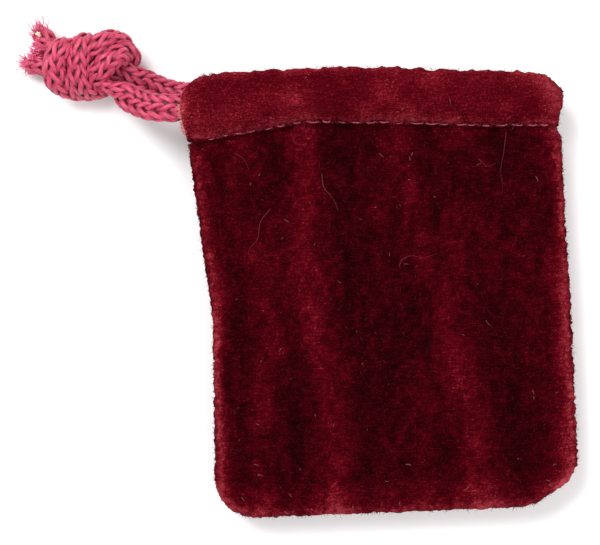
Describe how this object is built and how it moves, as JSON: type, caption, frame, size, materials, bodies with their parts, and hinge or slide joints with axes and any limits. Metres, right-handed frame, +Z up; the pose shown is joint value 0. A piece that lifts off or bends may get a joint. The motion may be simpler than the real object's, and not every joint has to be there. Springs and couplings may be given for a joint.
{
  "type": "drawstring gift pouch",
  "caption": "Small velvet drawstring gift pouch lying flat, with a knitted cord that runs in a casing round the mouth, leaves it at one side and is knotted.",
  "frame": {"origin": "on the surface that the pouch lies on, under the middle of the pouch without its cord", "axes": "+Y from the closed bottom to the mouth, +Z up out of the front panel, +X to the right; the cord leaves at -X"},
  "size_m": [0.0933, 0.0872, 0.015],
  "materials": {
    "velvet": "matte",
    "cord": "matte",
    "thread": "matte"
  },
  "bodies": {
    "pouch": {"front_panel": "velvet", "back_panel": "velvet", "front_casing": "velvet", "back_casing": "velvet", "front_casing_stitches": "thread", "back_casing_stitches": "thread", "left_seam_thread": "thread", "right_seam_thread": "thread", "bottom_seam_thread": "thread"},
    "casing_left": {"front_casing_end": "velvet", "back_casing_end": "velvet", "front_casing_tack": "thread", "back_casing_tack": "thread"},
    "casing_right": {"casing_fold": "velvet"},
    "drawstring": {"drawstring_loop": "cord"},
    "knot_end": {"lower_strand": "cord", "upper_strand": "cord", "knot": "cord", "upper_tail": "cord", "lower_tail": "cord"}
  },
  "joints": [
    {"name": "casing_left_gather", "type": "slide", "parent": "pouch", "child": "casing_left", "axis": [1, 0, 0], "range_m": [0, 0.02]},
    {"name": "drawstring_pull", "type": "slide", "parent": "casing_left", "child": "drawstring", "axis": [-1, 0, 0], "range_m": [0, 0.04], "deforming": ["front_casing", "back_casing", "front_casing_stitches", "back_casing_stitches"]},
    {"name": "casing_right_gather", "type": "slide", "parent": "casing_left", "child": "casing_right", "axis": [-1, 0, 0], "range_m": [0, 0.04]},
    {"name": "knot_swing", "type": "hinge", "parent": "drawstring", "child": "knot_end", "pos_m": [-0.0325, 0.0336, 0.0075], "axis": [0, 0, 1], "range_deg": [-30, 40], "deforming": ["lower_strand", "upper_strand"]}
  ],
  "couplings": [
    {"joint": "casing_left_gather", "follows": "drawstring_pull", "ratio": 0.5},
    {"joint": "casing_right_gather", "follows": "drawstring_pull", "ratio": 1}
  ]
}
